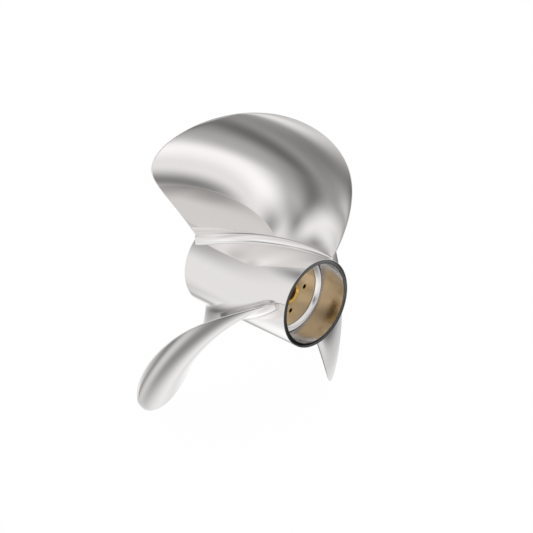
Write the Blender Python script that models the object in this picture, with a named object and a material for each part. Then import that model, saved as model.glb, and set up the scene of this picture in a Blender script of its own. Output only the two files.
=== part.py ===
"""A three-blade, left-hand boat propeller with a plated hub and a splined bore.

The shaft axis lies along Y. The origin is on that axis, in the face of the forward plate, where the
propeller bears on its shaft. The forward end of the hub is at -Y, the after end at +Y, and blade 1
points up. Angles around the shaft are counted clockwise from straight up, seen along +Y.
"""

import math

import bmesh
import bpy
from mathutils import Vector

# Driving dimensions, in metres
DIAMETER = 0.381
PITCH = 0.610
BLADES = 3
HUB_RADIUS = 0.0505
HUB_LENGTH = 0.156
WALL = 0.005
RECESS = 0.0375
GAP = 0.0003
SEGMENTS = 60

# Blade outline: degrees around the shaft from the tip's line to each edge at the root, how much less
# that is near the tip, and how late the edge turns in to the tip
TIP_ANGLE = -2.15
TRAILING_ANGLE = 36.3
TRAILING_SHRINK = 2.6
TRAILING_FULLNESS = 11.0
LEADING_ANGLE = 48.1
LEADING_SHRINK = 12.0
LEADING_FULLNESS = 6.4

# Blade surface: where its centre line leaves the hub, how it rakes, and how thick it is
ROOT_CENTRE = 0.0527
RAKE = -0.22
RAKE_CURVE = 2.53
ROOT_THICKNESS = 0.0078
TIP_THICKNESS = 0.0010
THINNING = 1.3
ROOT_FILLET = 0.007
CHORD_STEPS = 20
FILLET_ROWS = (0.0, 0.12, 0.4, 1.0)
BLADE_ROWS = 15

# Bead along the root of each blade, on its forward face
BEAD_WIDTH = 0.0088
BEAD_HEIGHT = 0.0054
BEAD_ARC_STEPS = 4
BEAD_TAPER_FROM = 0.50
BEAD_END_SIZE = 0.75

# Ends of the hub
EDGE_BEVEL = 0.0003
SEAL_WIDTH = 0.0042
SEAL_DEPTH = 0.0027

# Plates, rings and collars at the bottom of each recess
PLATE_THICKNESS = 0.0022
PLATE_HOLES = 4
HOLE_RADIUS = 0.0029
HOLE_CIRCLE = 0.0219
HOLE_SEGMENTS = 16
RING_INNER_RADIUS = 0.0384
RING_INNER_THICKNESS = 0.0006
RING_THICKNESS = 0.0034
RING_CROWN = 0.72
BORE_RADIUS = 0.0100
COLLAR_RADIUS = 0.0128
COLLAR_LENGTH = 0.0070
COLLAR_MOUTH = 0.0022
BORE_SEGMENTS = 40

# Cushioned drive between the plates
SPLINE_TEETH = 13
SPLINE_DEPTH = 0.0015
SLEEVE_RADIUS = 0.0160
BUSH_RADIUS = 0.0240
INNER_HUB_WALL = 0.0040
CORE_SEGMENTS = 52
WEB_THICKNESS = 0.006
WEBS = 3

# Colours, with roughness and metallic value
STEEL = ((0.80, 0.79, 0.78), 0.12, 1.0)
BRASS = ((0.62, 0.45, 0.20), 0.28, 1.0)
DARK_RUBBER = ((0.06, 0.06, 0.06), 0.45, 0.0)

# Places that follow from the dimensions
TIP_RADIUS = DIAMETER / 2
BLADE_SPAN = TIP_RADIUS - HUB_RADIUS
HUB_FRONT = -RECESS
HUB_BACK = HUB_LENGTH - RECESS
HUB_MIDDLE = (HUB_FRONT + HUB_BACK) / 2
INNER_RADIUS = HUB_RADIUS - WALL
PLATE_RADIUS = INNER_RADIUS - GAP
CORE_FRONT = COLLAR_LENGTH + GAP
CORE_BACK = 2 * HUB_MIDDLE - CORE_FRONT


def clear_scene():
    for obj in list(bpy.data.objects):
        bpy.data.objects.remove(obj, do_unlink=True)


def material(name, look):
    colour, roughness, metallic = look
    made = bpy.data.materials.new(name)
    made.use_nodes = True
    shader = made.node_tree.nodes["Principled BSDF"]
    shader.inputs["Base Color"].default_value = (*colour, 1.0)
    shader.inputs["Roughness"].default_value = roughness
    shader.inputs["Metallic"].default_value = metallic
    return made


def place(bm, name, look):
    """Makes a closed mesh an object of its own, facing out and shaded smooth where it is round."""
    bmesh.ops.recalc_face_normals(bm, faces=bm.faces)
    mesh = bpy.data.meshes.new(name)
    bm.to_mesh(mesh)
    bm.free()
    mesh.shade_smooth()
    mesh.set_sharp_from_angle(angle=math.radians(35))
    mesh.materials.append(material(name + "_finish", look))
    obj = bpy.data.objects.new(name, mesh)
    bpy.context.scene.collection.objects.link(obj)
    return obj


def around(radius, angle, y):
    """The point at this radius and angle, in radians, around the shaft."""
    return Vector((radius * math.sin(angle), y, radius * math.cos(angle)))


def ring_faces(bm, rows):
    """Joins closed rows of points into a tube, each row to the next."""
    for lower, upper in zip(rows, rows[1:]):
        for i, corner in enumerate(lower):
            bm.faces.new((corner, lower[i - 1], upper[i - 1], upper[i]))


def turned(name, profile, look, segments=SEGMENTS):
    """A solid turned around the shaft from a closed profile of (radius, y) points."""
    bm = bmesh.new()
    rows = []
    for step in range(segments):
        angle = math.tau * step / segments
        rows.append([bm.verts.new(around(radius, angle, y)) for radius, y in profile])
    ring_faces(bm, rows + rows[:1])
    return place(bm, name, look)


def mirrored(profile):
    """The same profile at the other end of the hub."""
    return [(radius, 2 * HUB_MIDDLE - y) for radius, y in profile]


def hub_barrel():
    seat = SEAL_DEPTH + GAP
    seat_radius = INNER_RADIUS + SEAL_WIDTH + GAP
    front = [
        (INNER_RADIUS, HUB_FRONT + seat),
        (seat_radius, HUB_FRONT + seat),
        (seat_radius, HUB_FRONT),
        (HUB_RADIUS - EDGE_BEVEL, HUB_FRONT),
        (HUB_RADIUS, HUB_FRONT + EDGE_BEVEL),
    ]
    return turned("hub_barrel", front + mirrored(front)[::-1], STEEL)


def seal_profile():
    """A flat ring let into the end of the barrel, flush with it."""
    outer = INNER_RADIUS + SEAL_WIDTH
    return [
        (INNER_RADIUS, HUB_FRONT),
        (outer, HUB_FRONT),
        (outer, HUB_FRONT + SEAL_DEPTH),
        (INNER_RADIUS, HUB_FRONT + SEAL_DEPTH),
    ]


def retaining_profile():
    """A rounded ring in the corner between the barrel's wall and the plate."""
    back = -GAP
    middle = (RING_INNER_RADIUS + PLATE_RADIUS) / 2
    return [
        (RING_INNER_RADIUS, back),
        (RING_INNER_RADIUS, back - RING_INNER_THICKNESS),
        (middle, back - RING_CROWN * RING_THICKNESS),
        (PLATE_RADIUS, back - RING_THICKNESS),
        (PLATE_RADIUS, back),
    ]


def plate_profile():
    hole = COLLAR_RADIUS + GAP
    return [(hole, 0), (PLATE_RADIUS, 0), (PLATE_RADIUS, PLATE_THICKNESS), (hole, PLATE_THICKNESS)]


def drilled_plate(name, profile):
    """A round plate with a ring of small holes right through it.

    Each cutter is turned by a part of a segment, so that no side of it lies in line with the plate's.
    """
    plate = turned(name, profile, BRASS)
    middle = sum(y for _, y in profile) / len(profile)
    for hole in range(PLATE_HOLES):
        angle = math.tau * hole / PLATE_HOLES
        bm = bmesh.new()
        bmesh.ops.create_cone(
            bm,
            cap_ends=True,
            segments=HOLE_SEGMENTS,
            radius1=HOLE_RADIUS,
            radius2=HOLE_RADIUS,
            depth=4 * PLATE_THICKNESS,
        )
        cutter = place(bm, f"{name}_hole_cutter_{hole + 1}", BRASS)
        quarter_segment = math.pi / 2 / HOLE_SEGMENTS
        cutter.rotation_euler = (math.pi / 2, angle + quarter_segment, 0)
        cutter.location = around(HOLE_CIRCLE, angle, middle)
        cutter.hide_render = True
        cutter.display_type = "WIRE"
        cut = plate.modifiers.new(f"hole_{hole + 1}", "BOOLEAN")
        cut.operation = "DIFFERENCE"
        cut.solver = "EXACT"
        cut.object = cutter
    return plate


def collar_profile():
    """A short tube flush with the plate, its mouth opened out to a cone."""
    return [
        (BORE_RADIUS, COLLAR_MOUTH),
        (BORE_RADIUS + COLLAR_MOUTH, 0),
        (COLLAR_RADIUS, 0),
        (COLLAR_RADIUS, COLLAR_LENGTH),
        (BORE_RADIUS, COLLAR_LENGTH),
    ]


def hub_ends():
    """What closes each end of the barrel. The after end repeats the forward one."""
    turned("front_seal_ring", seal_profile(), DARK_RUBBER)
    turned("aft_seal_ring", mirrored(seal_profile()), DARK_RUBBER)
    turned("front_retaining_ring", retaining_profile(), STEEL)
    turned("aft_retaining_ring", mirrored(retaining_profile()), STEEL)
    drilled_plate("front_plate", plate_profile())
    drilled_plate("aft_plate", mirrored(plate_profile()))
    turned("front_collar", collar_profile(), BRASS, BORE_SEGMENTS)
    turned("aft_collar", mirrored(collar_profile()), BRASS, BORE_SEGMENTS)


def drive_sleeve():
    """A tube whose bore has straight spline teeth, four points to a tooth."""
    bm = bmesh.new()
    inner = [[], []]
    outer = [[], []]
    for point in range(4 * SPLINE_TEETH):
        angle = math.tau * (point + 0.5) / (4 * SPLINE_TEETH)
        depth = SPLINE_DEPTH if point % 4 in (1, 2) else 0
        for end, y in enumerate((CORE_FRONT, CORE_BACK)):
            inner[end].append(bm.verts.new(around(BORE_RADIUS + depth, angle, y)))
            outer[end].append(bm.verts.new(around(SLEEVE_RADIUS, angle, y)))
    ring_faces(bm, [inner[0], outer[0], outer[1], inner[1], inner[0]])
    return place(bm, "drive_sleeve", BRASS)


def tube_profile(inner, outer):
    return [(inner, CORE_FRONT), (outer, CORE_FRONT), (outer, CORE_BACK), (inner, CORE_BACK)]


def web(number):
    """A straight rib from the inner hub out to the barrel's wall."""
    inner = BUSH_RADIUS + GAP + INNER_HUB_WALL + GAP
    middle = (number - 0.5) * math.tau / WEBS
    half = WEB_THICKNESS / 2
    bm = bmesh.new()
    rows = []
    for y in (CORE_FRONT, CORE_BACK):
        row = []
        for radius in (inner, PLATE_RADIUS):
            for side in (-1, 0, 1) if radius == inner else (1, 0, -1):
                row.append(bm.verts.new(around(radius, middle + side * math.asin(half / radius), y)))
        rows.append(row)
    ring_faces(bm, rows)
    bm.faces.new(rows[0])
    bm.faces.new(rows[1])
    return place(bm, f"web_{number}", STEEL)


def hub_core():
    """The splined sleeve, the rubber that carries it, and the hub cast around that."""
    drive_sleeve()
    bush_inner = SLEEVE_RADIUS + GAP
    turned("rubber_bush", tube_profile(bush_inner, BUSH_RADIUS), DARK_RUBBER, CORE_SEGMENTS)
    hub_inner = BUSH_RADIUS + GAP
    hub_outer = hub_inner + INNER_HUB_WALL
    turned("inner_hub", tube_profile(hub_inner, hub_outer), STEEL, CORE_SEGMENTS)
    for number in range(1, WEBS + 1):
        web(number)


def edge_angles(span):
    """The trailing and leading edges' angles, in radians, at this share of the way to the tip."""
    trailing = (TRAILING_ANGLE - TRAILING_SHRINK * span) * math.sqrt(1 - span**TRAILING_FULLNESS)
    leading = (LEADING_ANGLE - LEADING_SHRINK * span) * math.sqrt(1 - span**LEADING_FULLNESS)
    return math.radians(TIP_ANGLE - trailing), math.radians(TIP_ANGLE + leading)


def half_thickness(span, chord):
    """Half the blade's thickness, with chord -1 at the trailing edge and 1 at the leading edge."""
    thickness = ROOT_THICKNESS * (1 - span) ** THINNING + TIP_THICKNESS
    return thickness / 2 * math.sqrt(max(0, 1 - chord * chord))


def blade_point(radius, chord, forward):
    """A point this far forward of the blade's middle surface, square to it around the shaft."""
    span = min(1, max(0, (radius - HUB_RADIUS) / BLADE_SPAN))
    trailing, leading = edge_angles(span)
    angle = (trailing + leading) / 2 + chord * (leading - trailing) / 2
    out = radius - HUB_RADIUS
    y = ROOT_CENTRE - PITCH * angle / math.tau + RAKE * out + RAKE_CURVE * out * out
    advance = PITCH / math.tau
    length = math.hypot(radius, advance)
    return around(radius, angle - forward * advance / length / radius, y - forward * radius / length)


def fillet_offset(radius, chord):
    """How far the rounded corner at the root thickens the blade's after face."""
    rise = (radius - HUB_RADIUS) / ROOT_FILLET
    if rise >= 1:
        return 0
    return ROOT_FILLET * (1 - math.sqrt(1 - (1 - rise) ** 2)) * math.sqrt(max(0, 1 - chord * chord))


def chord_stations():
    """Places across the blade, closer together towards its edges."""
    return [-math.cos(math.pi * step / CHORD_STEPS) for step in range(CHORD_STEPS + 1)]


def blade_radii():
    """Rows through the root fillet, then out to just short of the tip, closer together there."""
    radii = [HUB_RADIUS + GAP + share * (ROOT_FILLET - GAP) for share in FILLET_ROWS]
    foot = radii[-1]
    for row in range(1, BLADE_ROWS):
        radii.append(foot + (TIP_RADIUS - foot) * math.sin(math.pi / 2 * row / BLADE_ROWS))
    return radii


def blade(number):
    bm = bmesh.new()
    chords = chord_stations()
    rows = []
    for radius in blade_radii():
        span = (radius - HUB_RADIUS) / BLADE_SPAN
        row = []
        for chord in chords:
            row.append(bm.verts.new(blade_point(radius, chord, half_thickness(span, chord))))
        for chord in chords[-2:0:-1]:
            aft = half_thickness(span, chord) + fillet_offset(radius, chord)
            row.append(bm.verts.new(blade_point(radius, chord, -aft)))
        rows.append(row)
    ring_faces(bm, rows)
    close_tip(bm, rows[-1])
    close_root(bm, rows[0], chords)
    obj = place(bm, f"blade_{number}", STEEL)
    obj.rotation_euler.y = blade_turn(number)
    return obj


def close_tip(bm, row):
    tip = bm.verts.new(blade_point(TIP_RADIUS, 0, 0))
    for i, corner in enumerate(row):
        bm.faces.new((corner, row[i - 1], tip))


def close_root(bm, row, chords):
    """Closes the foot with a row of points along its middle, so that it follows the round hub."""
    last = len(chords) - 1
    middle = {0: row[0], last: row[last]}
    for i in range(1, last):
        forward = half_thickness(0, chords[i])
        aft = forward + fillet_offset(HUB_RADIUS + GAP, chords[i])
        middle[i] = bm.verts.new(blade_point(HUB_RADIUS + GAP, chords[i], (forward - aft) / 2))
    for i in range(last):
        far, far_next = row[-i % len(row)], row[-i - 1]
        for corners in (
            (row[i], row[i + 1], middle[i]),
            (row[i + 1], middle[i + 1], middle[i]),
            (far, middle[i + 1], middle[i]),
            (far, far_next, middle[i + 1]),
        ):
            if len(set(corners)) == 3:
                bm.faces.new(corners)


def blade_turn(number):
    return -math.tau * (number - 1) / BLADES


def root_bead(number):
    """A rounded bead along the blade's foot, cut square at both ends and a little thinner forward."""
    bm = bmesh.new()
    rows = []
    for chord in chord_stations():
        size = bead_size(chord)
        section = [(0, 0), (BEAD_WIDTH * size / 2, 0)]
        for step in range(BEAD_ARC_STEPS + 1):
            angle = math.pi / 2 * step / BEAD_ARC_STEPS
            section.append((BEAD_WIDTH * size * math.cos(angle), BEAD_HEIGHT * size * math.sin(angle)))
        row = []
        for across, up in section:
            radius = HUB_RADIUS + GAP + up
            face = half_thickness((radius - HUB_RADIUS) / BLADE_SPAN, chord)
            row.append(bm.verts.new(blade_point(radius, chord, face + GAP + across)))
        rows.append(row)
    ring_faces(bm, rows)
    bm.faces.new(rows[0])
    bm.faces.new(rows[-1])
    obj = place(bm, f"root_bead_{number}", STEEL)
    obj.rotation_euler.y = blade_turn(number)
    return obj


def bead_size(chord):
    """The bead's size at this place along the foot: full behind, a little less at the leading edge."""
    past = max(0, (chord - BEAD_TAPER_FROM) / (1 - BEAD_TAPER_FROM))
    return BEAD_END_SIZE + (1 - BEAD_END_SIZE) * math.cos(math.pi / 2 * past)


def main():
    clear_scene()
    hub_barrel()
    hub_ends()
    hub_core()
    for number in range(1, BLADES + 1):
        blade(number)
        root_bead(number)


main()
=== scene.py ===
"""The looks of a three-blade, left-hand boat propeller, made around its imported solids, in metres.

The shaft axis lies along Y, the forward end of the hub at -Y, and blade 1 points up. Angles around the
shaft are counted clockwise from straight up, seen along +Y.
"""

import math

import bmesh
import bpy
from mathutils import Matrix, Vector


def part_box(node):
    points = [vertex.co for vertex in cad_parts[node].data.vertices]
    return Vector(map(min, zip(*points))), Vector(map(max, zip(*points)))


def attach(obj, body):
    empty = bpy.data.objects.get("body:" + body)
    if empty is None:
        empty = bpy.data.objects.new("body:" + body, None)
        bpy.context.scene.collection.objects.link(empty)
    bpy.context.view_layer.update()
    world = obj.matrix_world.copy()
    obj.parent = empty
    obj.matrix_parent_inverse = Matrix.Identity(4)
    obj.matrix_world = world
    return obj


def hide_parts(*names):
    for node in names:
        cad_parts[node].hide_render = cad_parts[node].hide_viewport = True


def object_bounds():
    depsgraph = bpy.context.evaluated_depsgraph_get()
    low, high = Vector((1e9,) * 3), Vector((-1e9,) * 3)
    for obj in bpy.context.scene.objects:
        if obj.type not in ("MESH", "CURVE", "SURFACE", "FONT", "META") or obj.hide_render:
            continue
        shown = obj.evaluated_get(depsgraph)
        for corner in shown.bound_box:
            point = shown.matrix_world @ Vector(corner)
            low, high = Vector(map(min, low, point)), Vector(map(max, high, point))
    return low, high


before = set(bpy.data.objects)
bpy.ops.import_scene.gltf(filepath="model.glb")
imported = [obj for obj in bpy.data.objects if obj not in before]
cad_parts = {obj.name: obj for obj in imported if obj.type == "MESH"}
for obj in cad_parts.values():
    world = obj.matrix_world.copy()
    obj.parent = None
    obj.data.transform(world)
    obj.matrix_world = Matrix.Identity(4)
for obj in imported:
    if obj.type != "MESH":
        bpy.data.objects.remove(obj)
cad_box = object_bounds()

# Blades, with the solids' own values; their edges are rounded only here
DIAMETER = 0.381
PITCH = 0.610
BLADES = 3
TIP_ANGLE = -2.15
TRAILING_ANGLE = 36.3
TRAILING_SHRINK = 2.6
TRAILING_FULLNESS = 11.0
LEADING_ANGLE = 48.1
LEADING_SHRINK = 12.0
LEADING_FULLNESS = 6.4
ROOT_CENTRE = 0.0527
RAKE = -0.22
RAKE_CURVE = 2.53
ROOT_THICKNESS = 0.0078
TIP_THICKNESS = 0.0010
THINNING = 1.3
EDGE_ROUND = 0.0006
EDGE_SHARE = 0.007
ROOT_FILLET = 0.007
BEAD_WIDTH = 0.0088
BEAD_HEIGHT = 0.0054
BEAD_TAPER_FROM = 0.50
BEAD_END_SIZE = 0.75

# Hub, from the solids' boxes and with their own values
HUB_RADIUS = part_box("hub_barrel")[1].z
HUB_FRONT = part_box("hub_barrel")[0].y
HUB_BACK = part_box("hub_barrel")[1].y
HUB_MIDDLE = (HUB_FRONT + HUB_BACK) / 2
PLATE_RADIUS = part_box("front_plate")[1].z
PLATE_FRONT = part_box("front_plate")[0].y
PLATE_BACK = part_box("front_plate")[1].y
SEAL_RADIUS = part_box("front_seal_ring")[1].z
SEAL_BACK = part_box("front_seal_ring")[1].y
RING_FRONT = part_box("front_retaining_ring")[0].y
RING_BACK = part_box("front_retaining_ring")[1].y
COLLAR_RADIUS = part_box("front_collar")[1].z
COLLAR_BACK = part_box("front_collar")[1].y
SLEEVE_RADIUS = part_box("drive_sleeve")[1].z
SLEEVE_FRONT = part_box("drive_sleeve")[0].y
SLEEVE_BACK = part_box("drive_sleeve")[1].y
GAP = 0.0003
INNER_RADIUS = PLATE_RADIUS + GAP
TIP_RADIUS = DIAMETER / 2
BLADE_SPAN = TIP_RADIUS - HUB_RADIUS
RING_INNER_RADIUS = 0.0384
RING_INNER_THICKNESS = 0.0006
RING_CROWN = 0.72
BORE_RADIUS = 0.0100
PLATE_HOLES = 4
HOLE_RADIUS = 0.0029
HOLE_CIRCLE = 0.0219
COLLAR_MOUTH = 0.0022
SPLINE_TEETH = 13
SPLINE_DEPTH = 0.0015

# Fine forms of the hub's ends, made only here
SEAL_DROP = 0.0011
SEAL_LAND = 0.0006
SEAL_SEAT = 0.0015
RING_GROOVE = 0.0007
HOLE_NARROWING = 0.0004
HOLE_CHAMFER = 0.0007
SPLINE_FLANK = 1.4

# Roundings of corners
SEAT_EDGE = 0.0001
FINE_EDGE = 0.0002
RIM_EDGE = 0.0003
RING_INNER_EDGE = 0.0004
RING_CROWN_EDGE = 0.0028
RING_OUTER_EDGE = 0.0006

# How fine the meshes are
ROUND_SEGMENTS = 240
CORNER_STEPS = 5
CHORD_STEPS = 72
FOOT_ROWS = 12
BLADE_ROWS = 64
TIP_ROWS = 24
SHOULDER_WIDTH = 0.75
BEAD_STEPS = 16
HOLE_SEGMENTS = 48
HOLE_TURN = 0.3
HOLE_OVERSHOOT = 0.001
TOOTH_STEPS = 12

# Edges that bend more than this many degrees stay sharp
SHARP_ANGLE = 40
BLADE_SHARP_ANGLE = 70

# The two colours of each finish, which its clouds or grain blend
STEEL = ((0.84, 0.815, 0.80), (0.82, 0.805, 0.80))
RING_STEEL = ((0.89, 0.87, 0.86), (0.85, 0.835, 0.825))
PLATE_BRASS = ((0.75, 0.55, 0.32), (0.81, 0.62, 0.37))
COLLAR_BRASS = ((0.80, 0.47, 0.10), (0.86, 0.55, 0.15))
GREASED_BRASS = ((0.28, 0.12, 0.035), (0.40, 0.18, 0.06))
DARK_RING = ((0.009, 0.009, 0.009), (0.013, 0.013, 0.013))
RUBBER = ((0.010, 0.010, 0.011), (0.020, 0.019, 0.018))
CAST_STEEL = ((0.33, 0.32, 0.31), (0.45, 0.44, 0.42))

# How rough the steel is: polished outside, turned inside the barrel, and where one becomes the other
POLISH = 0.05
POLISH_SPREAD = 0.02
TURNED = 0.20
TURNED_SPREAD = 0.01
POLISHED_FROM = HUB_RADIUS - 0.0012
FINISH_BLEND = 0.0001

# Floor
FLOOR_HALF_SIZE = 20
FLOOR_DROP = 0.002
FLOOR_COLOUR = (0.02, 0.02, 0.02)
FLOOR_GLOW = 0.985

# Studio: longitude, latitude, width, height and turn in degrees, then a light's strength, or a dark
# screen's strength below 0
STUDIO_WHITE = 0.92
STUDIO_DARKEST = 0.01
STUDIO = (
    # Behind the camera and above the hub
    (-155, 15, 60, 18, 20, -0.70),
    (-150, 14, 40, 5, 25, -0.05),
    (-166, 15, 8, 6, 30, -0.15),
    (-165, 27, 12, 6, 0, -0.15),
    (170, 28, 22, 8, 5, -0.70),
    (180, 30.5, 18, 2, 12, 0.40),
    (176, 36, 26, 5, 8, -0.40),
    (-160, 50, 75, 18, -30, 0.20),
    (-152, 50, 80, 25, 30, -0.70),
    (-133, 16, 30, 10, 30, 0.80),
    (-130, 18, 20, 12, 25, -0.50),
    (-135, 27, 8, 16, -45, 0.40),
    (-145, 8, 24, 6, 25, 0.12),
    (-158, 3, 8, 6, 40, -0.25),
    # Behind the camera and below the hub
    (-130, -15, 65, 10, 25, 0.30),
    (-147, -33, 25, 12, 20, -0.60),
    (-172, -25, 20, 24, 0, 0.35),
    (-178, -3, 12, 8, 0, -0.80),
    # To the left
    (-120, 5, 32, 13, -20, -0.25),
    (-117, -19, 11, 31, -65, -0.75),
    (-98, 12, 14, 26, 0, -0.45),
    (-84, 32, 16, 55, -5, 0.25),
    (-84, 38, 12, 16, 0, -0.35),
    # Beyond the propeller
    (-32, 30, 30, 14, -50, -0.20),
    (8, 63, 40, 8, -10, -0.80),
    (18, 38, 60, 31, 5, -0.70),
    (1, -16, 33, 50, 0, -0.72),
    (28, -45, 27, 9, -5, -0.55),
    (-26, -59, 63, 18, -5, 0.40),
    (62, -19, 18, 8, 15, 0.50),
    (80, -17, 60, 18, 0, -0.75),
    # To the right, and under it three thin strips
    (130, -6, 34, 14, 0, 0.60),
    (118, -43, 28, 20, 0, -0.80),
    (152, -48, 51, 80, -15, -0.85),
    (90, -62, 28, 8, 20, -0.50),
    (92, -67.5, 30, 1.5, 30, 0.30),
    (92, -69, 30, 1, 30, -0.20),
    (92, -72, 30, 2.5, 30, 0.40),
)

# Camera
VIEW_AZIMUTH = -45.12
VIEW_ELEVATION = 25.33
CAMERA_PLACE = (-0.9953, -0.9529, 0.6842)
LENS = 94.56
SENSOR_WIDTH = 36


def around(radius, angle, y):
    """The point at this radius and angle, in radians, around the shaft."""
    return Vector((radius * math.sin(angle), y, radius * math.cos(angle)))


def ring_faces(bm, rows):
    """Joins closed rows of points into a tube, each row to the next."""
    for lower, upper in zip(rows, rows[1:]):
        for i, corner in enumerate(lower):
            bm.faces.new((corner, lower[i - 1], upper[i - 1], upper[i]))


def place(bm, name, finish, slot, *nodes, sharp=SHARP_ANGLE):
    """Makes a mesh a piece of the propeller that stands for the named solids."""
    bmesh.ops.recalc_face_normals(bm, faces=bm.faces)
    mesh = bpy.data.meshes.new(name)
    bm.to_mesh(mesh)
    bm.free()
    mesh.shade_smooth()
    mesh.set_sharp_from_angle(angle=math.radians(sharp))
    mesh.materials.append(finish)
    piece = bpy.data.objects.new(name, mesh)
    bpy.context.scene.collection.objects.link(piece)
    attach(piece, "root")
    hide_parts(*nodes)
    return piece


def rounded(corners):
    """A closed profile from (radius, y, rounding) corners, each rounded corner as a short curve."""
    profile = []
    for i, (radius, y, rounding) in enumerate(corners):
        corner = Vector((radius, y))
        if not rounding:
            profile.append(corner)
            continue
        before = Vector(corners[i - 1][:2]) - corner
        after = Vector(corners[(i + 1) % len(corners)][:2]) - corner
        start = corner + before.normalized() * rounding
        end = corner + after.normalized() * rounding
        for step in range(CORNER_STEPS + 1):
            t = step / CORNER_STEPS
            profile.append((1 - t) ** 2 * start + 2 * t * (1 - t) * corner + t**2 * end)
    return profile


def aft(corners):
    """The same corners at the after end of the hub."""
    return [(radius, 2 * HUB_MIDDLE - y, rounding) for radius, y, rounding in corners]


def turned_mesh(corners):
    """The closed ring that this profile makes, turned round the shaft."""
    bm = bmesh.new()
    rows = []
    for step in range(ROUND_SEGMENTS):
        angle = math.tau * step / ROUND_SEGMENTS
        rows.append([bm.verts.new(around(radius, angle, y)) for radius, y in rounded(corners)])
    ring_faces(bm, rows + rows[:1])
    return bm


def barrel(finish):
    """The hub's outer tube, each end with the conical seat that a seal sits on."""
    seat = SEAL_BACK + GAP
    seat_radius = SEAL_RADIUS + GAP / 3
    front = [
        (INNER_RADIUS, HUB_FRONT + SEAL_LAND + GAP / 3, SEAT_EDGE),
        (INNER_RADIUS + SEAL_SEAT, seat, 0),
        (seat_radius, seat, 0),
        (seat_radius, HUB_FRONT, 0),
        (HUB_RADIUS, HUB_FRONT, RIM_EDGE),
    ]
    bm = turned_mesh(front + aft(front)[::-1])
    return place(bm, "barrel_shell", finish, "polished_steel", "hub_barrel")


def seal_corners():
    """The dark end ring: its face slopes back a little towards the rim."""
    return [
        (INNER_RADIUS, HUB_FRONT, RIM_EDGE),
        (SEAL_RADIUS, HUB_FRONT + SEAL_DROP, FINE_EDGE),
        (SEAL_RADIUS, SEAL_BACK, 0),
        (INNER_RADIUS + SEAL_SEAT, SEAL_BACK, 0),
        (INNER_RADIUS, HUB_FRONT + SEAL_LAND, 0),
    ]


def retaining_corners():
    """The bright ring on the plate: a crowned face, and a narrow groove beside the barrel's wall."""
    middle = (RING_INNER_RADIUS + PLATE_RADIUS) / 2
    crown = RING_BACK + RING_CROWN * (RING_FRONT - RING_BACK)
    return [
        (RING_INNER_RADIUS, RING_BACK, 0),
        (RING_INNER_RADIUS, RING_BACK - RING_INNER_THICKNESS, RING_INNER_EDGE),
        (middle, crown, RING_CROWN_EDGE),
        (PLATE_RADIUS - RING_GROOVE, RING_FRONT, RING_OUTER_EDGE),
        (PLATE_RADIUS - RING_GROOVE / 3, RING_FRONT + 2 * RING_GROOVE, 0),
        (PLATE_RADIUS, RING_BACK, 0),
    ]


def plate_corners():
    """The brass plate, round its collar."""
    return [
        (COLLAR_RADIUS + GAP, PLATE_FRONT, FINE_EDGE),
        (PLATE_RADIUS, PLATE_FRONT, 0),
        (PLATE_RADIUS, PLATE_BACK, 0),
        (COLLAR_RADIUS + GAP, PLATE_BACK, FINE_EDGE),
    ]


def collar_corners():
    """The collar round the bore, its mouth a short cone."""
    return [
        (BORE_RADIUS, COLLAR_MOUTH, RIM_EDGE),
        (BORE_RADIUS + COLLAR_MOUTH, 0, FINE_EDGE),
        (COLLAR_RADIUS, 0, FINE_EDGE),
        (COLLAR_RADIUS, COLLAR_BACK, FINE_EDGE),
        (BORE_RADIUS, COLLAR_BACK, FINE_EDGE),
    ]


def drill(plate, front, back, hole_finish):
    """Cuts a ring of small holes, each opened out to a bright chamfer at both faces."""
    narrow = HOLE_RADIUS - HOLE_NARROWING
    wide = narrow + HOLE_CHAMFER + HOLE_OVERSHOOT
    profile = [
        (wide, front - HOLE_OVERSHOOT),
        (narrow, front + HOLE_CHAMFER),
        (narrow, back - HOLE_CHAMFER),
        (wide, back + HOLE_OVERSHOOT),
    ]
    for hole in range(PLATE_HOLES):
        angle = math.tau * hole / PLATE_HOLES
        centre = around(HOLE_CIRCLE, angle, 0)
        bm = bmesh.new()
        rows = []
        for radius, y in profile:
            spokes = [math.tau * (step + HOLE_TURN) / HOLE_SEGMENTS for step in range(HOLE_SEGMENTS)]
            rows.append([bm.verts.new(centre + around(radius, spoke, y)) for spoke in spokes])
        ring_faces(bm, rows)
        bm.faces.new(rows[0])
        bm.faces.new(rows[-1])
        bmesh.ops.recalc_face_normals(bm, faces=bm.faces)
        mesh = bpy.data.meshes.new("hole")
        bm.to_mesh(mesh)
        bm.free()
        mesh.materials.append(hole_finish)
        cutter = bpy.data.objects.new("hole", mesh)
        bpy.context.scene.collection.objects.link(cutter)
        cut = plate.modifiers.new("hole", "BOOLEAN")
        cut.object = cutter
        cut.material_mode = "TRANSFER"
        bpy.context.view_layer.objects.active = plate
        bpy.ops.object.modifier_apply(modifier=cut.name)
        bpy.data.objects.remove(cutter)
    plate.data.set_sharp_from_angle(angle=math.radians(SHARP_ANGLE))


def hub_ends(ring_steel, brass, bright_brass, greased_brass, dark):
    """The seal, retaining ring, drilled plate and collar at each end of the hub."""
    for end, side in (("front", list), ("aft", aft)):
        bm = turned_mesh(side(seal_corners()))
        place(bm, end + "_seal", dark, "dark_rubber", end + "_seal_ring")
        bm = turned_mesh(side(retaining_corners()))
        place(bm, end + "_ring", ring_steel, "polished_steel", end + "_retaining_ring")
        bm = turned_mesh(side(plate_corners()))
        plate = place(bm, end + "_brass_plate", brass, "brass", end + "_plate")
        depths = sorted(y for _, y, _ in side(plate_corners()))
        drill(plate, depths[0], depths[-1], bright_brass)
        bm = turned_mesh(side(collar_corners()))
        for face in bm.faces:
            face.material_index = face.calc_center_median().xz.length < BORE_RADIUS + GAP / 3
        collar = place(bm, end + "_brass_collar", bright_brass, "brass", end + "_collar")
        collar.data.materials.append(greased_brass)


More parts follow.
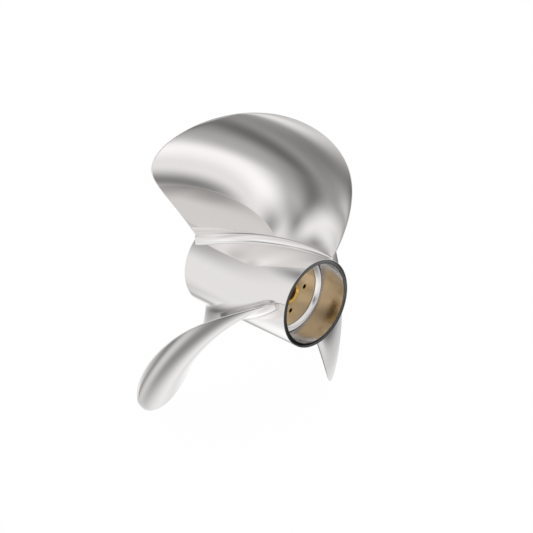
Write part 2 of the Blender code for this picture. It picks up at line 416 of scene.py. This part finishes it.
def splined_sleeve(finish):
    """The brass tube in the core, its bore with straight rounded teeth."""
    bm = bmesh.new()
    inner = [[], []]
    outer = [[], []]
    points = TOOTH_STEPS * SPLINE_TEETH
    for point in range(points):
        angle = math.tau * point / points
        wave = math.cos(SPLINE_TEETH * angle)
        depth = SPLINE_DEPTH * min(1, max(0, 0.5 + SPLINE_FLANK * wave))
        for end, y in enumerate((SLEEVE_FRONT, SLEEVE_BACK)):
            inner[end].append(bm.verts.new(around(BORE_RADIUS + depth, angle, y)))
            outer[end].append(bm.verts.new(around(SLEEVE_RADIUS, angle, y)))
    ring_faces(bm, [inner[0], outer[0], outer[1], inner[1], inner[0]])
    return place(bm, "splined_sleeve", finish, "brass", "drive_sleeve")


def edge_angles(span):
    """The trailing and leading edges' angles, in radians, at this share of the way to the tip."""
    trailing = (TRAILING_ANGLE - TRAILING_SHRINK * span) * math.sqrt(1 - span**TRAILING_FULLNESS)
    leading = (LEADING_ANGLE - LEADING_SHRINK * span) * math.sqrt(1 - span**LEADING_FULLNESS)
    return math.radians(TIP_ANGLE - trailing), math.radians(TIP_ANGLE + leading)


def half_thickness(span, chord):
    """Half the blade's thickness, with chord -1 at the trailing edge and 1 at the leading edge."""
    thickness = ROOT_THICKNESS * (1 - span) ** THINNING + TIP_THICKNESS
    body = thickness / 2 * math.sqrt(max(0, 1 - chord * chord))
    past = max(0, (abs(chord) - 1 + EDGE_SHARE) / EDGE_SHARE)
    edge = EDGE_ROUND * math.sqrt(max(0, 1 - past * past))
    return math.hypot(body, edge)


def blade_point(radius, chord, forward):
    """A point this far forward of the blade's middle surface, square to it around the shaft."""
    span = min(1, max(0, (radius - HUB_RADIUS) / BLADE_SPAN))
    trailing, leading = edge_angles(span)
    angle = (trailing + leading) / 2 + chord * (leading - trailing) / 2
    out = radius - HUB_RADIUS
    y = ROOT_CENTRE - PITCH * angle / math.tau + RAKE * out + RAKE_CURVE * out * out
    advance = PITCH / math.tau
    length = math.hypot(radius, advance)
    return around(radius, angle - forward * advance / length / radius, y - forward * radius / length)


def fillet_offset(radius, chord):
    """How far the rounded corner at the root thickens the blade's after face."""
    rise = max(0, (radius - HUB_RADIUS) / ROOT_FILLET)
    if rise >= 1:
        return 0
    return ROOT_FILLET * (1 - math.sqrt(1 - (1 - rise) ** 2)) * math.sqrt(max(0, 1 - chord * chord))


def chord_stations():
    """Places across the blade, closer together towards its edges."""
    return [-math.cos(math.pi * step / CHORD_STEPS) for step in range(CHORD_STEPS + 1)]


def blade_spans():
    """Shares of the way out: through the fillet, to the shoulder, then evenly along the tip's curve."""
    foot = ROOT_FILLET / BLADE_SPAN
    shoulder = (1 - SHOULDER_WIDTH**2) ** (1 / TRAILING_FULLNESS)
    spans = [foot * (row / FOOT_ROWS) ** 2 for row in range(FOOT_ROWS)]
    spans += [foot + (shoulder - foot) * row / BLADE_ROWS for row in range(BLADE_ROWS)]
    for row in range(TIP_ROWS):
        width = SHOULDER_WIDTH * (1 - row / TIP_ROWS)
        spans.append((1 - width**2) ** (1 / TRAILING_FULLNESS))
    return spans


def blade(number, finish):
    """A blade from its foot on the barrel to its tip, with the root's rounded corner behind."""
    bm = bmesh.new()
    chords = chord_stations()
    rows = []
    for span in blade_spans():
        radius = HUB_RADIUS + span * BLADE_SPAN
        row = []
        for chord in chords:
            row.append(bm.verts.new(blade_point(radius, chord, half_thickness(span, chord))))
        for chord in chords[-2:0:-1]:
            behind = half_thickness(span, chord) + fillet_offset(radius, chord)
            row.append(bm.verts.new(blade_point(radius, chord, -behind)))
        rows.append(row)
    ring_faces(bm, rows)
    tip = bm.verts.new(blade_point(TIP_RADIUS, 0, 0))
    for i, corner in enumerate(rows[-1]):
        bm.faces.new((corner, rows[-1][i - 1], tip))
    bm.transform(Matrix.Rotation(blade_turn(number), 4, "Y"))
    return place(
        bm, f"blade_{number}_skin", finish, "polished_steel", f"blade_{number}",
        sharp=BLADE_SHARP_ANGLE,
    )


def blade_turn(number):
    """How far this blade is turned about +Y from straight up, in radians."""
    return -math.tau * (number - 1) / BLADES


def bead_size(chord):
    """The bead's size at this place along the foot: full behind, a little less at the leading edge."""
    past = max(0, (chord - BEAD_TAPER_FROM) / (1 - BEAD_TAPER_FROM))
    return BEAD_END_SIZE + (1 - BEAD_END_SIZE) * math.cos(math.pi / 2 * past)


def root_bead(number, finish):
    """A rounded bead along the blade's foot, cut square at both ends and a little thinner forward."""
    bm = bmesh.new()
    rows = []
    for chord in chord_stations():
        size = bead_size(chord)
        row = []
        for step in range(BEAD_STEPS + 1):
            angle = math.pi / 2 * step / BEAD_STEPS
            across = BEAD_WIDTH * size * math.cos(angle)
            radius = HUB_RADIUS + BEAD_HEIGHT * size * math.sin(angle)
            face = half_thickness((radius - HUB_RADIUS) / BLADE_SPAN, chord)
            row.append(bm.verts.new(blade_point(radius, chord, face + across)))
        row.append(bm.verts.new(blade_point(HUB_RADIUS, chord, half_thickness(0, chord))))
        rows.append(row)
    ring_faces(bm, rows)
    bm.faces.new(rows[0])
    bm.faces.new(rows[-1])
    bm.transform(Matrix.Rotation(blade_turn(number), 4, "Y"))
    return place(bm, f"root_bead_{number}_skin", finish, "polished_steel", f"root_bead_{number}")


def add_node(tree, kind, inputs=None, **settings):
    """A new node with these settings, its inputs set to values or joined to other nodes' outputs."""
    node = tree.nodes.new("ShaderNode" + kind)
    for name, value in settings.items():
        setattr(node, name, value)
    for key, value in (inputs or {}).items():
        if isinstance(value, bpy.types.NodeSocket):
            tree.links.new(value, node.inputs[key])
        else:
            node.inputs[key].default_value = value
    return node


def new_material(name, metallic, **values):
    """A material with these values on its shader, its node tree, and its object coordinates."""
    made = bpy.data.materials.new(name)
    made.use_nodes = True
    tree = made.node_tree
    shader = tree.nodes["Principled BSDF"]
    shader.inputs["Metallic"].default_value = metallic
    for socket, value in values.items():
        shader.inputs[socket.replace("_", " ")].default_value = value
    return made, tree, add_node(tree, "TexCoord").outputs["Object"]


def stretched(tree, part, scale):
    """Object coordinates, stretched by these three scales."""
    return add_node(tree, "Mapping", {"Vector": part, "Scale": scale}).outputs[0]


def noise(tree, part, scale, detail=4.0, roughness=0.55):
    """Clouds or grain from 0 to 1, finer with a greater scale."""
    return add_node(tree, "TexNoise", {
        "Vector": part, "Scale": scale, "Detail": detail, "Roughness": roughness,
    }).outputs["Fac"]


def turning_marks(tree, part, scale):
    """Fine rings around the shaft, uneven as a lathe leaves them."""
    return add_node(tree, "TexWave", {
        "Vector": part, "Scale": scale, "Distortion": 1.5, "Detail": 3.0, "Detail Scale": 2.0,
    }, wave_type="RINGS", rings_direction="Y").outputs["Fac"]


def ranged(tree, value, low, high):
    """A value from 0 to 1 brought between low and high."""
    return add_node(tree, "MapRange", {"Value": value, "To Min": low, "To Max": high}).outputs[0]


def about(tree, value, middle, spread):
    """A value from 0 to 1 brought to no more than this spread either side of the middle."""
    return ranged(tree, value, middle - spread, middle + spread)


def blended(tree, value, colours):
    """The first colour turning into the second as the value goes from 0 to 1."""
    first, second = colours
    return add_node(tree, "MixRGB", {
        "Fac": value, "Color1": (*first, 1), "Color2": (*second, 1),
    }).outputs["Color"]


def beyond(tree, part, radius):
    """1 from this radius out and 0 nearer to the shaft, with a narrow change between them."""
    flat = add_node(tree, "VectorMath", {0: part, 1: (1, 0, 1)}, operation="MULTIPLY").outputs[0]
    length = add_node(tree, "VectorMath", {0: flat}, operation="LENGTH").outputs["Value"]
    return add_node(tree, "MapRange", {
        "Value": length, "From Min": radius - FINISH_BLEND, "From Max": radius,
    }).outputs[0]


def finished(made, colour, roughness, height, strength, depth):
    """The material with this colour, roughness and relief, whose depth is in metres."""
    tree = made.node_tree
    shader = tree.nodes["Principled BSDF"]
    bump = add_node(tree, "Bump", {"Height": height, "Strength": strength, "Distance": depth})
    tree.links.new(colour, shader.inputs["Base Color"])
    tree.links.new(roughness, shader.inputs["Roughness"])
    tree.links.new(bump.outputs[0], shader.inputs["Normal"])
    return made


def steel_material():
    """Mirror-polished steel with faint polishing marks, and turned steel inside the barrel."""
    made, tree, part = new_material("polished_steel", metallic=1)
    colour = blended(tree, noise(tree, part, scale=9), STEEL)
    marks = noise(tree, stretched(tree, part, scale=(1, 0.12, 1)), scale=420, detail=6)
    rings = turning_marks(tree, part, scale=240)
    roughness = add_node(tree, "Mix", {
        "Factor": beyond(tree, part, POLISHED_FROM),
        "A": about(tree, rings, TURNED, TURNED_SPREAD),
        "B": about(tree, marks, POLISH, POLISH_SPREAD),
    }).outputs["Result"]
    return finished(made, colour, roughness, marks, strength=0.05, depth=0.00003)


def ring_steel_material():
    """The retaining rings' steel, finely turned."""
    made, tree, part = new_material("ring_steel", metallic=1)
    colour = blended(tree, noise(tree, part, scale=20), RING_STEEL)
    rings = turning_marks(tree, part, scale=300)
    roughness = ranged(tree, rings, low=0.12, high=0.17)
    return finished(made, colour, roughness, rings, strength=0.05, depth=0.00003)


def brass_material():
    """The plates' brass, dulled a little and faced on a lathe."""
    made, tree, part = new_material("turned_brass", metallic=1)
    clouds = noise(tree, part, scale=45, detail=6)
    rings = turning_marks(tree, part, scale=330)
    colour = blended(tree, clouds, PLATE_BRASS)
    roughness = ranged(tree, clouds, low=0.28, high=0.36)
    return finished(made, colour, roughness, rings, strength=0.12, depth=0.00004)


def bright_brass_material():
    """The golden brass of the collars and the small holes' edges."""
    made, tree, part = new_material("bright_brass", metallic=1)
    colour = blended(tree, noise(tree, part, scale=90), COLLAR_BRASS)
    rings = turning_marks(tree, part, scale=420)
    roughness = ranged(tree, rings, low=0.22, high=0.30)
    return finished(made, colour, roughness, rings, strength=0.10, depth=0.00003)


def greased_brass_material():
    """The bore's brass, darkened by grease."""
    made, tree, part = new_material("greased_brass", metallic=0.3)
    clouds = noise(tree, stretched(tree, part, scale=(1, 0.2, 1)), scale=160, detail=6)
    colour = blended(tree, clouds, GREASED_BRASS)
    roughness = ranged(tree, clouds, low=0.40, high=0.55)
    return finished(made, colour, roughness, clouds, strength=0.15, depth=0.00005)


def dark_material():
    """The dark ring let into the barrel's end: smooth, with a faint grain."""
    made, tree, part = new_material("dark_ring", metallic=0, Specular_IOR_Level=1.0, IOR=1.62)
    grain = noise(tree, part, scale=900, detail=3)
    colour = blended(tree, grain, DARK_RING)
    roughness = ranged(tree, grain, low=0.20, high=0.28)
    return finished(made, colour, roughness, grain, strength=0.05, depth=0.00003)


def rubber_material():
    """The bush's moulded rubber."""
    made, tree, part = new_material("moulded_rubber", metallic=0)
    grain = noise(tree, part, scale=500, detail=6)
    colour = blended(tree, grain, RUBBER)
    roughness = ranged(tree, grain, low=0.65, high=0.85)
    return finished(made, colour, roughness, grain, strength=0.4, depth=0.0001)


def cast_material():
    """Steel left as cast, inside the hub."""
    made, tree, part = new_material("cast_steel", metallic=1)
    grain = noise(tree, part, scale=700, detail=8, roughness=0.65)
    colour = blended(tree, grain, CAST_STEEL)
    roughness = ranged(tree, grain, low=0.45, high=0.65)
    return finished(made, colour, roughness, grain, strength=0.5, depth=0.0002)


def dress(node, finish):
    """Gives a solid that stays in the scene its material."""
    mesh = bpy.data.objects[node].data
    mesh.materials.clear()
    mesh.materials.append(finish)


def facing(longitude, latitude, turn=0):
    """The rotation that brings +Y to this direction: longitude from +Y towards +X, latitude up."""
    return (
        Matrix.Rotation(math.radians(-longitude), 3, "Z")
        @ Matrix.Rotation(math.radians(latitude), 3, "X")
        @ Matrix.Rotation(math.radians(turn), 3, "Y")
    )


def studio_world():
    """White all round, with soft lights that add to it and soft screens that take from it."""
    world = bpy.data.worlds.new("studio")
    bpy.context.scene.world = world
    world.use_nodes = True
    tree = world.node_tree
    direction = add_node(tree, "TexCoord").outputs["Generated"]
    light = None
    for longitude, latitude, width, height, turn, strength in STUDIO:
        rotation = facing(longitude, latitude, turn)
        size = Vector((width, max(width, height), height)) * math.radians(1)
        local = add_node(tree, "Mapping", {
            "Vector": direction,
            "Location": rotation.col[1],
            "Rotation": rotation.to_euler(),
            "Scale": size,
        }, vector_type="TEXTURE")
        away = add_node(tree, "VectorMath", {0: local.outputs[0]}, operation="LENGTH")
        glow = add_node(tree, "MapRange", {
            "Value": away.outputs["Value"],
            "From Min": 1,
            "From Max": 0,
            "To Max": strength,
        }, interpolation_type="SMOOTHSTEP")
        before = STUDIO_WHITE if light is None else light
        light = add_node(tree, "Math", {0: before, 1: glow.outputs[0]}, operation="ADD").outputs[0]
    light = add_node(tree, "Math", {0: light, 1: STUDIO_DARKEST}, operation="MAXIMUM").outputs[0]
    seen = add_node(tree, "LightPath").outputs["Is Camera Ray"]
    light = add_node(tree, "Mix", {"Factor": seen, "A": light, "B": 1.0}).outputs["Result"]
    tree.links.new(light, tree.nodes["Background"].inputs["Color"])


def floor():
    """A plain white floor under the lowest blade."""
    bm = bmesh.new()
    bmesh.ops.create_grid(bm, x_segments=1, y_segments=1, size=FLOOR_HALF_SIZE)
    bm.transform(Matrix.Translation((0, 0, cad_box[0].z - FLOOR_DROP)))
    mesh = bpy.data.meshes.new("floor")
    bm.to_mesh(mesh)
    bm.free()
    ground = bpy.data.objects.new("floor", mesh)
    bpy.context.scene.collection.objects.link(ground)
    made = bpy.data.materials.new("floor")
    made.use_nodes = True
    shader = made.node_tree.nodes["Principled BSDF"]
    shader.inputs["Base Color"].default_value = (*FLOOR_COLOUR, 1)
    shader.inputs["Emission Color"].default_value = (1, 1, 1, 1)
    shader.inputs["Emission Strength"].default_value = FLOOR_GLOW
    shader.inputs["Specular IOR Level"].default_value = 0
    mesh.materials.append(made)
    ground.visible_glossy = False
    ground.visible_diffuse = False


def camera():
    """The photograph's view: along this azimuth and elevation, through a long lens."""
    azimuth = math.radians(VIEW_AZIMUTH)
    elevation = math.radians(VIEW_ELEVATION)
    right = Vector((math.cos(azimuth), math.sin(azimuth), 0))
    back = Vector((
        math.sin(azimuth) * math.cos(elevation),
        -math.cos(azimuth) * math.cos(elevation),
        math.sin(elevation),
    ))
    up = back.cross(right)
    data = bpy.data.cameras.new("camera")
    data.sensor_width = SENSOR_WIDTH
    data.lens = LENS
    view = bpy.data.objects.new("camera", data)
    bpy.context.scene.collection.objects.link(view)
    turn = Matrix((right, up, back)).transposed()
    view.matrix_world = Matrix.Translation(CAMERA_PLACE) @ turn.to_4x4()
    bpy.context.scene.camera = view


def main():
    """Makes the propeller's pieces, the studio, the floor and the camera."""
    steel = steel_material()
    barrel(steel)
    greased_brass = greased_brass_material()
    hub_ends(
        ring_steel=ring_steel_material(),
        brass=brass_material(),
        bright_brass=bright_brass_material(),
        greased_brass=greased_brass,
        dark=dark_material(),
    )
    splined_sleeve(greased_brass)
    dress("rubber_bush", rubber_material())
    cast = cast_material()
    for node in ("inner_hub", "web_1", "web_2", "web_3"):
        dress(node, cast)
    for number in range(1, BLADES + 1):
        blade(number, steel)
        root_bead(number, steel)
    studio_world()
    floor()
    camera()
    bpy.context.scene.view_settings.view_transform = "Standard"


main()
